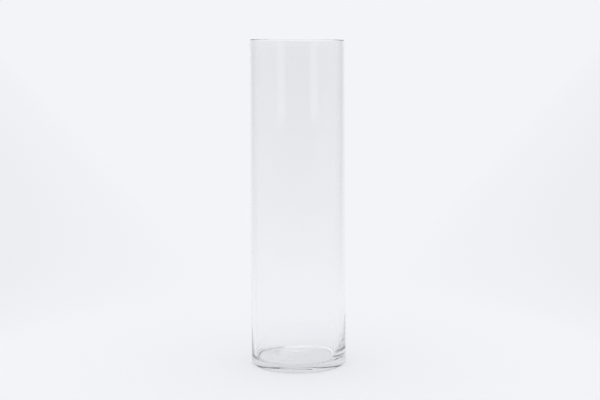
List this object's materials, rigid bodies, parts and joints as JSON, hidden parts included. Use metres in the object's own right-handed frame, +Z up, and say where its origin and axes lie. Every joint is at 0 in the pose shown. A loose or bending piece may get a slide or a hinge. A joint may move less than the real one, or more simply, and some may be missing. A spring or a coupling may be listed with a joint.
{
  "type": "glass cylinder vase",
  "caption": "Tall straight-sided clear glass cylinder vase with a solid base, rounded heel and fire-polished rim, open at the top for cut flower stems.",
  "frame": {"origin": "centre of the base, on the surface that the vase stands on", "axes": "+Z up along the vase's axis, from the base to the open rim; X and Y are any two directions square to it, because the vase is round"},
  "size_m": [0.0892, 0.0892, 0.305],
  "materials": {
    "clear_glass": "clear, polished"
  },
  "bodies": {
    "root": {"glass_vessel": "clear_glass"}
  },
  "joints": []
}
